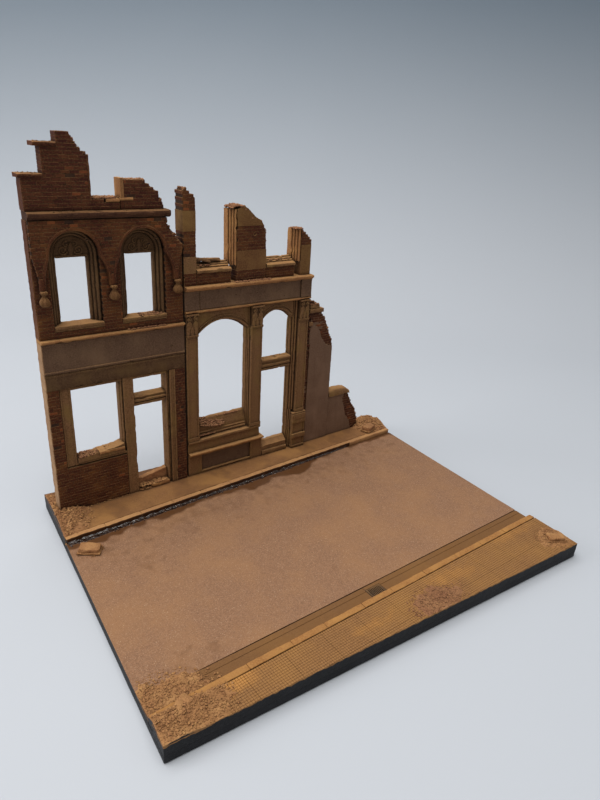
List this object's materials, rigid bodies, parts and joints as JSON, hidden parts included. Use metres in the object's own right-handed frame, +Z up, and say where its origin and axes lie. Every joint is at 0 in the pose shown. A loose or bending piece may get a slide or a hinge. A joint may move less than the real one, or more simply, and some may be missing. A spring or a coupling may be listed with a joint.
{
  "type": "miniature terrain ruin",
  "caption": "Ruined street corner for tabletop scenes: base board with road, kerbs and pavements, and two broken shop fronts with window and door openings along the rear.",
  "frame": {"origin": "middle of the underside of the base board, on the surface it stands on", "axes": "+X along the front edge of the board, +Y from the front pavement to the ruined walls, +Z up"},
  "size_m": [0.3, 0.231, 0.2543],
  "materials": {
    "board_paint": "satin black paint on board",
    "road_paint": "matt painted casting, sanded texture",
    "pavement_paint": "matt painted casting, paved",
    "kerb_paint": "matt painted casting, worn edges",
    "iron_paint": "dark painted casting",
    "brick_paint": "matt painted casting, brick relief",
    "olive_paint": "matt painted casting",
    "fascia_paint": "matt painted casting, smooth",
    "ochre_paint": "matt painted casting, dry-brushed edges",
    "render_paint": "matt painted casting, smooth render",
    "rubble_paint": "matt painted casting, rough",
    "timber_paint": "matt painted casting, wood grain",
    "wet_varnish": "gloss varnish, like standing water"
  },
  "bodies": {
    "root": {"arched_surround_left": "olive_paint", "arched_surround_right": "olive_paint", "base_board": "board_paint", "brick_arch_band": "brick_paint", "centre_pier": "brick_paint", "corbel_left": "ochre_paint", "corbel_middle": "ochre_paint", "corbel_right": "ochre_paint", "drain_grate": "iron_paint", "end_wall": "render_paint", "entablature_fascia": "fascia_paint", "entablature_ledge": "ochre_paint", "entablature_strip": "ochre_paint", "fallen_timbers": "timber_paint", "front_kerb": "kerb_paint", "front_pavement": "pavement_paint", "gable_coping_lower": "brick_paint", "gable_coping_upper": "brick_paint", "gable_wall": "brick_paint", "gutter_strip": "pavement_paint", "left_fascia_board": "fascia_paint", "left_fascia_ledge": "ochre_paint", "left_shop_brickwork": "brick_paint", "left_shop_door_frame": "olive_paint", "left_shop_end_pier": "brick_paint", "left_shop_lintel": "olive_paint", "left_shop_threshold": "rubble_paint", "left_shop_window_frame": "olive_paint", "left_shop_window_sill": "olive_paint", "left_upper_wall": "brick_paint", "low_wall": "render_paint", "low_wall_coping": "ochre_paint", "lower_sill_ledge": "ochre_paint", "parapet_remnant": "brick_paint", "pilaster_left": "olive_paint", "pilaster_middle": "olive_paint", "pilaster_pedestal": "olive_paint", "pilaster_right": "olive_paint", "rear_kerb": "kerb_paint", "rear_pavement": "pavement_paint", "right_pier": "brick_paint", "road_slab": "road_paint", "rubble_front_left": "rubble_paint", "rubble_front_right": "rubble_paint", "rubble_rear_left": "rubble_paint", "rubble_rear_right": "rubble_paint", "shop_door_frame": "olive_paint", "shop_door_threshold": "ochre_paint", "shop_window_frame": "olive_paint", "stall_riser": "fascia_paint", "stone_block_front_right": "rubble_paint", "stone_block_rear_right": "rubble_paint", "stone_block_road": "rubble_paint", "tall_pier": "brick_paint", "upper_cornice": "ochre_paint", "upper_sill_ledge": "ochre_paint", "upper_sill_left": "ochre_paint", "upper_sill_right": "ochre_paint", "upper_window_sill_left": "ochre_paint", "upper_window_sill_right": "ochre_paint"}
  },
  "joints": []
}
